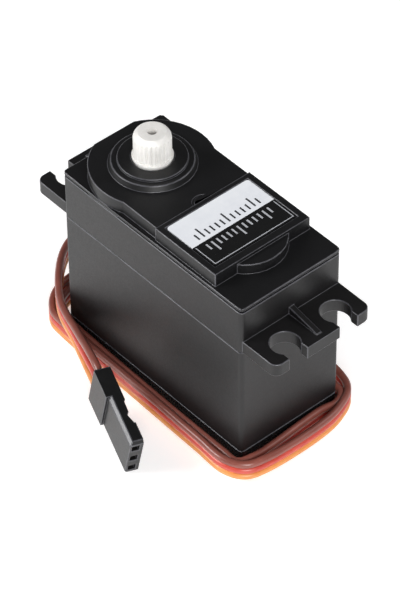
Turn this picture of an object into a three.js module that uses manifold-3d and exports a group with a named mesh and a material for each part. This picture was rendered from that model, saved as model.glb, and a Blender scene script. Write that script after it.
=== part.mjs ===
// Standard-size servo motor: gear case with mounting ears, geared DC motor, feedback potentiometer and
// a flat three-wire lead wrapped around the case.
// Millimetres, +Z up. Origin: bottom centre of the case. The output shaft is towards -X.
import * as THREE from 'three';
import { mergeVertices } from 'three/addons/utils/BufferGeometryUtils.js';
import Module from 'manifold-3d';

const wasm = await Module();
wasm.setup();

// ---------- driving dimensions ----------

// case
const caseLength = 40.6;
const caseWidth = 19.8;
const caseCornerRadius = 0.8;
const seamHeight = 3.9; // top of the bottom cover
const earUnderside = 24.9;
const earThickness = 2.3;
const rimHeight = 33.8; // lower top surface
const platformHeight = 36.0; // raised top surface
const caseWall = 1.3;
const gearCaseWall = 1.2;
const coverPlate = 1.0;
const seamGap = 0.1; // visible line between two shells
const rimGroove = 0.3; // wider line under the top cover
const lipDepth = 1.2; // register lip of each shell
const lipWall = 0.8;
const fit = 0.3; // clearance between neighbouring solids
const slipFit = 0.1; // clearance of a shaft in its bore

// ears
const earReach = 7.1;
const earHalfWidth = 9.55;
const earCornerRadius = 1.4;
const earHoleReach = 4.15; // from the case's end to the slots' centres
const earHoleSpanX = caseLength + 2 * earHoleReach;
const earHoleSpanY = 10;
const earHoleDiameter = 4.7;
const earMouth = 3.5; // slot opening towards the ear's outer edge
const earRibWidth = 1.0;
const earRibHeight = 1.3;

const shaftInset = 9.5; // output axis from the case's end
const bossFlatInset = 0.45; // flat that cuts the boss short of the end wall
const bossFlatWall = 0.8;

// top cover
const platformSideInset = 0.8;
const platformEnd = caseLength / 2 - 6.3; // X of the platform's step
const platformWall = 1.3;
const labelZoneStart = 0.6;
const labelZoneRise = 0.12;
const labelZoneSideInset = 0.55;
const labelBorder = 1.4;
const labelRecess = 0.28;
const labelThickness = 0.2;
const labelGap = 0.05; // adhesive
const bossRingRadius = 6.9;
const bossRingHeight = 0.9;
const bossCapRadius = 5.45;
const bossCapHeight = 1.3;
const bossSkirt = 3.4; // half length over which the boss closes the groove below it
const bulgeX = platformEnd - 4;
const bulgeRadius = 6.5;
const bulgeDrop = 0.4; // below the platform
const gateMarkX = 0.9;
const gateMarkY = -0.2;
const gateMarkRadius = 1.7;
const gateMarkWidth = 0.35;
const gateMarkDepth = 0.12;

// screws
const screwInset = 2.3; // from the case's walls to the screws' axes
const screwX = caseLength / 2 - screwInset;
const screwY = caseWidth / 2 - screwInset;
const screwRadius = 0.85;
const screwHeadRadius = 1.6;
const screwHeadHeight = 1.0;
const screwSink = 0.3; // head below the cover's underside
const pillarRadius = 1.9;

// gear train: axes along X
const toothBacklash = 0.1;
const firstModule = 0.3;
const middleModule = 0.35;
const lastModule = 0.4;
const motorTeeth = 12;
const firstWheelTeeth = 50;
const pinionTeeth = 10;
const middleWheelTeeth = 40;
const outputTeeth = 38;
const wheelThickness = 1.2;
const outputWheelThickness = 1.8;
const gearLayerGap = 0.3;
const floorThickness = 1.2;
const pinRadius = 0.75;

// output shaft
const journalRadius = 3.0;
const splineRadius = 2.95;
const splineTeeth = 25;
const splineDepth = 0.18;
const splineTop = 42.2;
// its rounded end: depth below the top, and how far in from the spline
const splineEnd = [[1.3, 0], [0.8, 0.1], [0.35, 0.35], [0, 0.8]];
const collarRadius = 3.2; // plain ring under the spline
const collarHeight = 0.4;
const hornScrewRadius = 0.8;
const hornScrewDepth = 4.6;
const bearingRadius = 5.0;
const bearingWidth = 3.0;
const bearingRingWall = 0.65;
const ballRadius = 0.55;
const raceClearance = 0.13; // ball to race, with room for the facets
const ballCount = 7;
const stopInner = 6.6;
const stopOuter = 7.7;
const stopBlockHalfAngle = 75; // degrees either side of -X
const stopTabHalfAngle = 7;

// motor
const motorRadius = 10.2;
const motorHalfWidth = 7.7;
const motorWall = 0.8;
const motorCapHeight = 3.1;
const motorTop = 24.4;
const motorBossRadius = 3.0;
const motorBossHeight = 1.2;
const motorShaftRadius = 0.75;
const magnetThickness = 2.0;
const airGap = 1.0; // magnet to core
const coreRadius = motorRadius - motorWall - magnetThickness - airGap;
const coreShoe = 0.9;
const coreLength = 9;
const commutatorRadius = 2.2;

// potentiometer
const potRadius = 5.2;
const potHeight = 6.0;
const potWall = 0.6;
const potTop = 23.6;
const potBushRadius = 3.2;
const potShaftRadius = 1.3;
const potShaftFlat = 0.75;
const potBaseThickness = 1.0;

// circuit board
const boardBottom = 1.9;
const boardThickness = 1.0;
const boardHalfLength = 15.9;

// lead and plug
const leadWidth = 3.6;
const leadThickness = 1.2;
const exitHeight = 3.9;
const grommetHalfWidth = 2.5;
const grommetHalfHeight = 1.5;
const grommetReach = 1.6;
const plugLength = 14.4;
const plugWidth = 7.6;
const plugThickness = 2.7;
const plugRearLength = 5.3;
const plugStep = 0.42; // how far its front stands back from the rear's near face
const plugBevel = 0.5;
const plugNoseCut = 0.5;
const plugWindow = 0.7; // depth of the window over its terminals
const socketPitch = 2.54;
const socketSize = 1.2;
const socketDepth = 9;
const socketX = 0.1; // the sockets' place across the plug
const socketDrop = 0.2;
const plugReach = 12.7; // from the case's side to the plug's nose
const plugNose = new THREE.Vector3(10.15, -caseWidth / 2 - plugReach, 3.85); // middle of its front face
const plugYaw = -19; // degrees
const plugPitch = 12; // nose down, degrees
const plugRoll = -4; // its upper side towards the case, degrees

// ---------- derived sizes ----------

const halfLength = caseLength / 2;
const halfWidth = caseWidth / 2;
const earTop = earUnderside + earThickness;
const gearCaseTop = rimHeight - 0.55 - rimGroove;
const lidBottom = rimHeight - 0.55;
const gearFloor = earUnderside + floorThickness;
const platformCeiling = platformHeight - platformWall;
const capTop = platformHeight + bossCapHeight;
const outputX = shaftInset - halfLength;
const bossRadius = halfWidth - 0.02; // flush with the case's sides
const motorBottom = seamHeight + lipDepth + 0.2;
const pitchRadius = (module, teeth) => (module * teeth) / 2;
const centreDistance = (module, a, b) => pitchRadius(module, a) + pitchRadius(module, b);
const centreX = outputX + centreDistance(lastModule, pinionTeeth, outputTeeth);
const motorX = centreX + centreDistance(firstModule, motorTeeth, firstWheelTeeth);
const upperX = centreX + centreDistance(middleModule, pinionTeeth, middleWheelTeeth);
const tipRadius = (module, teeth) => pitchRadius(module, teeth) + 0.8 * module;

const boardHalfWidth = halfWidth - caseWall - 0.15 - lipWall - fit;

// gear layers, bottom to top
const firstWheelZ = gearFloor + fit;
const secondWheelZ = firstWheelZ + wheelThickness + 2 * gearLayerGap;
const thirdWheelZ = secondWheelZ + wheelThickness + 2 * gearLayerGap;
const outputWheelZ = thirdWheelZ + wheelThickness + gearLayerGap;
const outputWheelTop = outputWheelZ + outputWheelThickness;
const shoulderTop = outputWheelTop + 0.2;
const bearingZ = shoulderTop + 0.15;
const bearingTop = bearingZ + bearingWidth;

// ---------- solids ----------

const turn = THREE.MathUtils.degToRad;

function toSolid(geometry) {
  const plain = geometry.clone();
  plain.deleteAttribute('normal');
  plain.deleteAttribute('uv');
  const merged = mergeVertices(plain, 1e-5);
  return new wasm.Manifold(
    new wasm.Mesh({
      numProp: 3,
      vertProperties: new Float32Array(merged.attributes.position.array),
      triVerts: new Uint32Array(merged.index.array),
    }),
  );
}

function toGeometry(solid) {
  const mesh = solid.getMesh();
  const geometry = new THREE.BufferGeometry();
  geometry.setAttribute('position', new THREE.BufferAttribute(mesh.vertProperties, 3));
  geometry.setIndex(new THREE.BufferAttribute(mesh.triVerts, 1));
  geometry.computeVertexNormals();
  return geometry;
}

function joined(...solids) {
  return solids.reduce((sum, next) => sum.add(next));
}

function without(solid, ...cuts) {
  return cuts.reduce((rest, cut) => rest.subtract(cut), solid);
}

// a flat outline raised from one height to another
function prism(outline, bottom, top, curveSegments = 6) {
  const options = { depth: top - bottom, bevelEnabled: false, curveSegments };
  const geometry = new THREE.ExtrudeGeometry(outline, options);
  geometry.translate(0, 0, bottom);
  return toSolid(geometry);
}

function box(x0, x1, y0, y1, z0, z1) {
  const geometry = new THREE.BoxGeometry(x1 - x0, y1 - y0, z1 - z0);
  geometry.translate((x0 + x1) / 2, (y0 + y1) / 2, (z0 + z1) / 2);
  return toSolid(geometry);
}

function cylinder(radius, bottom, top, x = 0, y = 0, segments = 32, topRadius = radius) {
  const geometry = new THREE.CylinderGeometry(topRadius, radius, top - bottom, segments);
  geometry.rotateX(Math.PI / 2);
  geometry.translate(x, y, (bottom + top) / 2);
  return toSolid(geometry);
}

function ring(outer, inner, bottom, top, x = 0, y = 0, segments = 32) {
  return without(
    cylinder(outer, bottom, top, x, y, segments),
    cylinder(inner, bottom - 1, top + 1, x, y, segments),
  );
}

// part of a ring between two angles in degrees
function ringSector(outer, inner, from, to, bottom, top, x = 0, segments = 8) {
  const outline = new THREE.Shape();
  outline.absarc(0, 0, outer, turn(from), turn(to), false);
  outline.absarc(0, 0, inner, turn(to), turn(from), true);
  outline.closePath();
  return prism(outline, bottom, top, segments).translate([x, 0, 0]);
}

function roundedRectangle(halfX, halfY, radius) {
  const outline = new THREE.Shape();
  const x = halfX - radius;
  const y = halfY - radius;
  outline.absarc(x, y, radius, 0, Math.PI / 2, false);
  outline.absarc(-x, y, radius, Math.PI / 2, Math.PI, false);
  outline.absarc(-x, -y, radius, Math.PI, 1.5 * Math.PI, false);
  outline.absarc(x, -y, radius, 1.5 * Math.PI, 2 * Math.PI, false);
  outline.closePath();
  return outline;
}

function caseBlock(bottom, top, inset = 0) {
  const radius = Math.max(caseCornerRadius - inset, 0.3);
  return prism(roundedRectangle(halfLength - inset, halfWidth - inset, radius), bottom, top, 3);
}

function atCorners(x, y, make) {
  return [[1, 1], [1, -1], [-1, 1], [-1, -1]].map(([i, j]) => make(i * x, j * y));
}

const pillars = (bottom, top) => atCorners(screwX, screwY, (x, y) => (
  cylinder(pillarRadius, bottom, top, x, y, 16)
));

const screwHoles = (bottom, top) => atCorners(screwX, screwY, (x, y) => (
  cylinder(screwRadius + fit, bottom, top, x, y, 16)
));

// the part of a solid that lies within the case's outline
function insideCase(solid, inset = 0) {
  return solid.intersect(caseBlock(-1, 60, inset));
}

// ---------- the model ----------

const servo = new THREE.Group();
servo.name = 'servo_motor';

const looks = {
  caseBlack: { color: 0x2a2a2c, roughness: 0.5, metalness: 0 },
  coverBlack: { color: 0x262628, roughness: 0.45, metalness: 0 },
  whiteNylon: { color: 0xf0eeea, roughness: 0.4, metalness: 0 },
  steel: { color: 0xb9bcc0, roughness: 0.3, metalness: 1 },
  canSteel: { color: 0xc4c6c8, roughness: 0.35, metalness: 1 },
  brass: { color: 0xc9a45a, roughness: 0.35, metalness: 1 },
  copper: { color: 0xb4643a, roughness: 0.4, metalness: 1 },
  ferrite: { color: 0x3a3a3c, roughness: 0.8, metalness: 0 },
  label: { color: 0xe6e6ea, roughness: 0.35, metalness: 0 },
  rubber: { color: 0x1c1c1d, roughness: 0.8, metalness: 0 },
  board: { color: 0x1f6b45, roughness: 0.5, metalness: 0 },
  phenolic: { color: 0x7a4a26, roughness: 0.6, metalness: 0 },
  chip: { color: 0x202022, roughness: 0.6, metalness: 0 },
  lead: { color: 0xc8583f, roughness: 0.5, metalness: 0 },
  plug: { color: 0x2b2b2d, roughness: 0.5, metalness: 0 },
};

function addPart(name, solid, look, parent = servo) {
  const geometry = solid.isBufferGeometry ? solid : toGeometry(solid);
  const mesh = new THREE.Mesh(geometry, new THREE.MeshStandardMaterial(looks[look]));
  mesh.name = name;
  parent.add(mesh);
  return mesh;
}

// ---------- case shells ----------

// passage of the lead through the -X wall, shared by both lower shells
const leadPassage = () => box(
  -halfLength - 1, -halfLength + caseWall + lipWall + 1,
  -grommetHalfWidth - fit, grommetHalfWidth + fit,
  exitHeight - grommetHalfHeight - fit, exitHeight + grommetHalfHeight + fit,
);

function bottomCover() {
  const floor = 1.2;
  const lipInset = caseWall + 0.15;
  const ledgeInset = 1.2;
  const shell = without(caseBlock(0, seamHeight), caseBlock(floor, seamHeight + 1, caseWall + 0.1));
  const lip = without(
    caseBlock(floor, seamHeight + lipDepth, lipInset),
    caseBlock(0, seamHeight + lipDepth + 1, lipInset + lipWall),
  );
  const ledges = [1, -1].map((side) => box(
    -12, 12,
    Math.min(side * (boardHalfWidth - ledgeInset), side * (halfWidth - caseWall)),
    Math.max(side * (boardHalfWidth - ledgeInset), side * (halfWidth - caseWall)),
    floor - 0.1, boardBottom - 0.05,
  ));
  const heads = atCorners(screwX, screwY, (x, y) => (
    cylinder(screwHeadRadius + 0.15, -1, screwSink + screwHeadHeight + 0.1, x, y, 20)
  ));
  const posts = pillars(floor - 0.1, seamHeight + lipDepth).map((post) => insideCase(post, lipInset));
  const footPillars = pillars(floor - 0.1, seamHeight).map((post) => insideCase(post, 0.1));
  return without(
    joined(shell, lip, ...ledges, ...posts, ...footPillars),
    ...heads, ...screwHoles(-1, seamHeight + lipDepth + 1), leadPassage(),
  );
}

function middleCase() {
  const bottom = seamHeight + seamGap;
  const top = earUnderside - seamGap;
  const shell = without(caseBlock(bottom, top), caseBlock(bottom - 1, top + 1, caseWall));
  const pillarStart = seamHeight + lipDepth + fit;
  const posts = pillars(pillarStart, top).map((post) => insideCase(post, 0.1));
  const shelfTop = potTop - potHeight - fit;
  const shelves = [1, -1].map((side) => box(
    outputX - 4.6, outputX + 4.6,
    Math.min(side * 4.4, side * (halfWidth - caseWall + 0.1)),
    Math.max(side * 4.4, side * (halfWidth - caseWall + 0.1)),
    shelfTop - 1.2, shelfTop,
  ));
  const ribEnd = motorX - motorRadius - fit;
  const ribs = [1, -1].map((side) => box(
    ribEnd - 1.1, ribEnd,
    Math.min(side * 5.2, side * (halfWidth - caseWall + 0.1)),
    Math.max(side * 5.2, side * (halfWidth - caseWall + 0.1)),
    seamHeight + lipDepth + 1.4, top,
  ));
  return without(
    joined(shell, ...posts, ...shelves, ...ribs),
    ...screwHoles(0, 40), leadPassage(),
  );
}

function ear(side) {
  const inner = halfLength - 0.6;
  const outer = halfLength + earReach;
  const middle = (inner + outer) / 2;
  const outline = roundedRectangle((outer - inner) / 2, earHalfWidth, earCornerRadius);
  const plate = prism(outline, earUnderside, earTop, 5).translate([side * middle, 0, 0]);
  const root = box(
    Math.min(side * inner, side * (inner + earCornerRadius + 0.5)),
    Math.max(side * inner, side * (inner + earCornerRadius + 0.5)),
    -earHalfWidth, earHalfWidth, earUnderside, earTop,
  );
  const holes = [1, -1].map((row) => cylinder(
    earHoleDiameter / 2, earUnderside - 1, earTop + 1,
    (side * earHoleSpanX) / 2, (row * earHoleSpanY) / 2, 24,
  ));
  const mouths = [1, -1].map((row) => box(
    Math.min((side * earHoleSpanX) / 2, side * (outer + 1)),
    Math.max((side * earHoleSpanX) / 2, side * (outer + 1)),
    (row * earHoleSpanY) / 2 - earMouth / 2, (row * earHoleSpanY) / 2 + earMouth / 2,
    earUnderside - 1, earTop + 1,
  ));
  const ribOutline = new THREE.Shape();
  ribOutline.moveTo(0, -0.5);
  ribOutline.lineTo(earReach - 0.4, -0.5);
  ribOutline.lineTo(earReach - 0.4, 0.15);
  ribOutline.lineTo(0.6, earRibHeight);
  ribOutline.lineTo(0, earRibHeight);
  ribOutline.closePath();
  const ribOptions = { depth: earRibWidth, bevelEnabled: false };
  const ribGeometry = new THREE.ExtrudeGeometry(ribOutline, ribOptions);
  ribGeometry.rotateX(Math.PI / 2);
  ribGeometry.translate(inner, earRibWidth / 2, earTop);
  if (side < 0) {
    ribGeometry.rotateZ(Math.PI);
  }
  return joined(without(joined(plate, root), ...holes, ...mouths), toSolid(ribGeometry));
}

function gearCase() {
  const shell = without(
    caseBlock(earUnderside, gearCaseTop),
    caseBlock(gearFloor, gearCaseTop + 1, gearCaseWall),
  );
  const posts = pillars(gearFloor - 0.1, gearCaseTop - lipDepth - 0.25).map((post) => insideCase(post, 0.1));
  const floorHoles = [
    cylinder(motorBossRadius + fit, earUnderside - 1, gearFloor + 1, motorX, 0, 32),
    cylinder(potShaftRadius + fit, earUnderside - 1, gearFloor + 1, outputX, 0, 24),
    cylinder(pinRadius + slipFit, earUnderside - 1, gearFloor + 1, centreX, 0, 16),
  ];
  return without(
    joined(shell, ...posts, ear(1), ear(-1)),
    ...floorHoles, ...screwHoles(0, 40),
  );
}

// outline of the raised platform: a round boss about the output shaft, run out along the case
function platform(bottom, top, inset, flatInset) {
  const flat = box(
    -halfLength + flatInset, halfLength, -halfWidth, halfWidth, bottom, top,
  );
  const boss = cylinder(bossRadius - inset, bottom, top, outputX, 0, 48).intersect(flat);
  const run = box(
    outputX, platformEnd - inset,
    -halfWidth + platformSideInset + inset, halfWidth - platformSideInset - inset,
    bottom, top,
  );
  return boss.add(run);
}

function topCover() {
  const labelTop = platformHeight + labelZoneRise;
  const spigotInset = gearCaseWall + 0.25;
  const spigotBottom = gearCaseTop - lipDepth;
  const lid = caseBlock(lidBottom, rimHeight);
  const spigot = caseBlock(spigotBottom, lidBottom, spigotInset);
  const labelZone = box(
    labelZoneStart, platformEnd,
    -halfWidth + labelZoneSideInset, halfWidth - labelZoneSideInset,
    rimHeight - 0.1, labelTop,
  );
  const bossRing = cylinder(
    bossRingRadius, platformHeight - 0.1, platformHeight + bossRingHeight, outputX, 0, 32,
    bossRingRadius - 0.5,
  );
  const bossCap = cylinder(bossCapRadius, platformHeight, capTop, outputX, 0, 32);
  const skirts = [-1, 1].map((side) => box(
    outputX - bossSkirt, outputX + bossSkirt,
    side * (halfWidth - 0.45) - 0.45, side * (halfWidth - 0.45) + 0.45,
    gearCaseTop + seamGap, lidBottom + 0.1,
  ));
  const bulge = cylinder(
    bulgeRadius, rimHeight - 0.1, platformHeight - bulgeDrop, bulgeX, 0, 32,
  );
  const hollow = caseBlock(spigotBottom - 1, rimHeight - coverPlate, spigotInset + lipWall);
  const platformHollow = platform(
    spigotBottom - 1, platformCeiling, platformWall + 0.2, bossFlatInset + bossFlatWall,
  );
  const collar = cylinder(
    stopInner - 0.4, bearingZ, platformCeiling + 0.1, outputX, 0, 24,
  );
  const stopBlock = ringSector(
    stopOuter, stopInner, 180 - stopBlockHalfAngle, 180 + stopBlockHalfAngle,
    outputWheelTop + 0.3, platformCeiling + 0.1, outputX, 8,
  );
  const bearingSeat = cylinder(
    bearingRadius + slipFit, spigotBottom, bearingTop + 0.05, outputX, 0, 32,
  );
  const shaftHole = cylinder(journalRadius + fit, spigotBottom, capTop + 1, outputX, 0, 24);
  const upperPinBoss = cylinder(
    1.8, thirdWheelZ + wheelThickness + fit, platformCeiling + 0.1, upperX, 0, 20,
  );
  const centrePinBoss = cylinder(1.6, platformCeiling - 0.5, platformCeiling + 0.1, centreX, 0, 20);
  const pinHole = (x, top) => cylinder(pinRadius + slipFit, spigotBottom - 2, top, x, 0, 16);
  const pinTop = platformHeight - 0.6;
  const recess = box(
    labelZoneStart + 0.9, platformEnd - labelBorder,
    -halfWidth + labelZoneSideInset + labelBorder - 0.2, halfWidth - labelZoneSideInset - labelBorder + 0.2,
    labelTop - labelRecess, labelTop + 1,
  );
  const gateDisc = (x, y, bottom) => cylinder(
    gateMarkRadius, bottom, platformHeight + 1, x, y, 24,
  );
  const gateMark = without(
    gateDisc(gateMarkX, gateMarkY, platformHeight - gateMarkDepth),
    gateDisc(gateMarkX + gateMarkWidth * 0.6, gateMarkY + gateMarkWidth * 0.8, 0),
    box(labelZoneStart - 0.1, halfLength, -halfWidth, halfWidth, 0, platformHeight + 2),
  );
  const body = without(
    joined(lid, spigot, platform(rimHeight - 0.1, platformHeight, 0, bossFlatInset), labelZone, bulge),
    hollow, platformHollow,
  );
  const posts = pillars(spigotBottom, lidBottom).map((post) => insideCase(post, spigotInset));
  return without(
    joined(
      body, bossRing, bossCap, collar, stopBlock, upperPinBoss, centrePinBoss, ...skirts, ...posts,
    ),
    bearingSeat, shaftHole,
    pinHole(upperX, pinTop), pinHole(centreX, pinTop),
    recess, gateMark, ...screwHoles(spigotBottom - 1, rimHeight - 0.4),
  );
}

function label() {
  const x0 = labelZoneStart + 0.9 + slipFit;
  const x1 = platformEnd - labelBorder - slipFit;
  const halfY = halfWidth - labelZoneSideInset - labelBorder + 0.2 - slipFit;
  const outline = roundedRectangle((x1 - x0) / 2, halfY, 0.4);
  const bottom = platformHeight + labelZoneRise - labelRecess + labelGap;
  return prism(outline, bottom, bottom + labelThickness, 3).translate([(x0 + x1) / 2, 0, 0]);
}

function caseScrew(x, y) {
  const head = cylinder(screwHeadRadius, screwSink, screwSink + screwHeadHeight, x, y, 20);
  const shank = cylinder(screwRadius, screwSink + screwHeadHeight - 0.1, rimHeight - 0.9, x, y, 12);
  const slot = (long, wide) => box(
    x - long, x + long, y - wide, y + wide, screwSink - 1, screwSink + 0.5,
  );
  return without(joined(head, shank), slot(1.0, 0.2), slot(0.2, 1.0));
}

// ---------- gears ----------

// involute tooth outline; wheels take straight flanks from root to tip
function gearOutline(module, teeth, addendum, phase, fineFlanks) {
  const pressure = turn(20);
  const pitch = pitchRadius(module, teeth);
  const base = pitch * Math.cos(pressure);
  const involute = (angle) => Math.tan(angle) - angle;
  const halfAngle = (radius) => {
    const reach = Math.max(radius, base);
    const spread = involute(pressure) - involute(Math.acos(base / reach));
    return Math.PI / (2 * teeth) - toothBacklash / (2 * pitch) + spread;
  };
  const root = pitch - 1.25 * module;
  const tip = pitch + addendum * module;
  const radii = fineFlanks ? [root, pitch, tip] : [root, tip];
  const outline = new THREE.Shape();
  for (let tooth = 0; tooth < teeth; tooth += 1) {
    const centre = phase + (2 * Math.PI * tooth) / teeth;
    const flankA = radii.map((radius) => [radius, centre - halfAngle(radius)]);
    const flankB = [...radii].reverse().map((radius) => [radius, centre + halfAngle(radius)]);
    [...flankA, ...flankB].forEach(([radius, angle], index) => {
      const x = radius * Math.cos(angle);
      const y = radius * Math.sin(angle);
      if (tooth === 0 && index === 0) {
        outline.moveTo(x, y);
      } else {
        outline.lineTo(x, y);
      }
    });
  }
  outline.closePath();
  return outline;
}

// a wheel has a gap on +X or -X, a pinion has a tooth there, so that each pair is in mesh
function wheel(module, teeth, bottom, thickness) {
  const outline = gearOutline(module, teeth, 0.8, Math.PI / teeth, false);
  return prism(outline, bottom, bottom + thickness);
}

function pinion(module, teeth, bottom, top) {
  return prism(gearOutline(module, teeth, 1.0, 0, true), bottom, top);
}

function compoundGear(x, wheelModule, wheelTeeth, pinionModule, bottom, pinionTop) {
  const web = wheelThickness * 0.3;
  const recess = ring(
    pitchRadius(wheelModule, wheelTeeth) - 1.4, 2.9,
    bottom + wheelThickness - web, bottom + wheelThickness + 1, 0, 0, 32,
  );
  const body = joined(
    without(wheel(wheelModule, wheelTeeth, bottom, wheelThickness), recess),
    pinion(pinionModule, pinionTeeth, bottom + wheelThickness - 0.1, pinionTop),
  );
  const bore = cylinder(pinRadius + slipFit, bottom - 1, pinionTop + 1, 0, 0, 16);
  return without(body, bore).translate([x, 0, 0]);
}

function motorPinion() {
  const top = firstWheelZ + wheelThickness + 0.2;
  return without(
    pinion(firstModule, motorTeeth, firstWheelZ, top),
    cylinder(motorShaftRadius + slipFit, firstWheelZ - 1, top + 1, 0, 0, 16),
  ).translate([motorX, 0, 0]);
}

function splineOutline() {
  const outline = new THREE.Shape();
  for (let tooth = 0; tooth < splineTeeth; tooth += 1) {
    const step = (2 * Math.PI) / splineTeeth;
    const corners = [
      [splineRadius - splineDepth, 0],
      [splineRadius, 0.35],
      [splineRadius, 0.65],
    ];
    corners.forEach(([radius, share], index) => {
      const angle = step * (tooth + share);
      const x = radius * Math.cos(angle);
      const y = radius * Math.sin(angle);
      if (tooth === 0 && index === 0) {
        outline.moveTo(x, y);
      } else {
        outline.lineTo(x, y);
      }
    });
  }
  outline.closePath();
  return outline;
}

// round bar with one flat, as on the potentiometer's shaft
function flattedBar(radius, flat, bottom, top) {
  return cylinder(radius, bottom, top, 0, 0, 20).intersect(
    box(-radius - 1, flat, -radius - 1, radius + 1, bottom, top),
  );
}

function outputGear() {
  const splineStart = capTop + 0.3;
  const wide = splineRadius + 0.05;
  const endSteps = splineEnd.slice(1).map(([depth, inset], index) => {
    const [lower, lowerInset] = splineEnd[index];
    return cylinder(
      wide - lowerInset, splineTop - lower - 0.001, splineTop - depth, 0, 0, 32, wide - inset,
    );
  });
  const spline = prism(splineOutline(), splineStart - 0.1, splineTop).intersect(joined(
    cylinder(wide, splineStart - 0.2, splineTop - splineEnd[0][0], 0, 0, 32), ...endSteps,
  ));
  const collar = cylinder(collarRadius, capTop + slipFit, capTop + slipFit + collarHeight, 0, 0, 32);
  const tab = ringSector(
    stopOuter - 0.1, stopInner + 0.1, -stopTabHalfAngle, stopTabHalfAngle,
    outputWheelTop - 0.1, platformCeiling - 0.35, 0, 4,
  );
  const body = joined(
    wheel(lastModule, outputTeeth, outputWheelZ, outputWheelThickness),
    cylinder(3.9, outputWheelTop - 0.1, shoulderTop, 0, 0, 32),
    cylinder(journalRadius, shoulderTop - 0.1, splineStart, 0, 0, 32),
    spline, collar, tab,
  );
  const potSocket = flattedBar(
    potShaftRadius + slipFit, potShaftFlat + slipFit, outputWheelZ - 1, potShaftTop + 0.2,
  );
  const hornHole = cylinder(
    hornScrewRadius, splineTop - hornScrewDepth, splineTop + 1, 0, 0, 16,
  );
  return without(body, potSocket, hornHole).translate([outputX, 0, 0]);
}

// ---------- output bearing ----------

const bearingPitch = (bearingRadius + journalRadius + slipFit) / 2;

function bearingRing(outer, inner) {
  const middle = (bearingZ + bearingTop) / 2;
  const race = new THREE.TorusGeometry(bearingPitch, ballRadius + raceClearance, 8, 24);
  race.translate(0, 0, middle);
  const blank = ring(outer, inner, bearingZ, bearingTop, 0, 0, 24);
  return without(blank, toSolid(race)).translate([outputX, 0, 0]);
}

function ballPlace(index) {
  const angle = (2 * Math.PI * index) / ballCount;
  return [outputX + bearingPitch * Math.cos(angle), bearingPitch * Math.sin(angle)];
}

function bearingBall(index) {
  const [x, y] = ballPlace(index);
  const geometry = new THREE.SphereGeometry(ballRadius, 8, 6);
  geometry.translate(x, y, (bearingZ + bearingTop) / 2);
  return toSolid(geometry);
}

function bearingCage() {
  const middle = (bearingZ + bearingTop) / 2;
  const reach = 0.22;
  const band = ring(bearingPitch + reach, bearingPitch - reach, middle - 0.9, middle + 0.25, outputX, 0, 24);
  const pockets = Array.from({ length: ballCount }, (_, index) => {
    const [x, y] = ballPlace(index);
    return cylinder(ballRadius + 0.08, middle - 0.65, middle + 2, x, y, 8);
  });
  return without(band, ...pockets);
}

// ---------- motor ----------

function motorOutline(inset) {
  const radius = motorRadius - inset;
  const half = motorHalfWidth - inset;
  const swing = Math.asin(half / radius);
  const outline = new THREE.Shape();
  outline.absarc(0, 0, radius, -swing, swing, false);
  outline.absarc(0, 0, radius, Math.PI - swing, Math.PI + swing, false);
  outline.closePath();
  return outline;
}

const motorCanBottom = motorBottom + motorCapHeight + slipFit;

function motorCan() {
  const boss = cylinder(motorBossRadius, motorTop - 0.1, motorTop + motorBossHeight, 0, 0, 24);
  const cavity = prism(motorOutline(motorWall), motorCanBottom - 1, motorTop - motorWall, 10);
  const bore = cylinder(motorShaftRadius + fit, motorTop - 3, motorTop + 3, 0, 0, 16);
  return without(
    joined(prism(motorOutline(0), motorCanBottom, motorTop, 10), boss), cavity, bore,
  ).translate([motorX, 0, 0]);
}

function motorEndCap() {
  const top = motorBottom + motorCapHeight;
  const cavity = cylinder(6.0, motorBottom + 0.9, top + 1, 0, 0, 24);
  const slots = [1, -1].map((side) => box(
    Math.min(side * 4.5, side * 5.5), Math.max(side * 4.5, side * 5.5), -1.2, 1.2,
    motorBottom - 1, motorBottom + 2,
  ));
  return without(prism(motorOutline(0), motorBottom, top, 10), cavity, ...slots)
    .translate([motorX, 0, 0]);
}

function motorMagnet(side) {
  const outer = motorRadius - motorWall - 0.15;
  const centre = side > 0 ? 0 : 180;
  return ringSector(
    outer, outer - magnetThickness, centre - 38, centre + 38,
    motorCanBottom + 2.4, motorTop - 2.6, motorX, 8,
  );
}

const coreBottom = motorCanBottom + 3.8;

function armatureCore() {
  const arms = [0, 120, 240].map((angle) => joined(
    box(0, coreRadius - 0.6, -0.9, 0.9, coreBottom, coreBottom + coreLength),
    ringSector(coreRadius, coreRadius - coreShoe, -50, 50, coreBottom, coreBottom + coreLength),
  ).rotate([0, 0, angle]));
  const hub = cylinder(1.7, coreBottom, coreBottom + coreLength, 0, 0, 16);
  const bore = cylinder(motorShaftRadius + slipFit, 0, 40, 0, 0, 16);
  return without(joined(hub, ...arms), bore).translate([motorX, 0, 0]);
}

function armatureCoil(index) {
  const over = 1.1;
  const halfCoil = 2.3;
  const outside = Math.sqrt((coreRadius - coreShoe - 0.15) ** 2 - halfCoil ** 2);
  const winding = box(2.2, outside, -halfCoil, halfCoil, coreBottom - over, coreBottom + coreLength + over);
  const window = box(1, 7, -1.05, 1.05, coreBottom - 0.15, coreBottom + coreLength + 0.15);
  return without(winding, window).rotate([0, 0, index * 120]).translate([motorX, 0, 0]);
}

function motorShaft() {
  const top = firstWheelZ + wheelThickness + 0.35;
  return cylinder(motorShaftRadius, motorBottom + 1.1, top, motorX, 0, 16);
}

function commutator() {
  return ring(
    commutatorRadius, motorShaftRadius + slipFit, motorBottom + 1.3, coreBottom - 1.4, motorX, 0, 18,
  );
}

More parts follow.
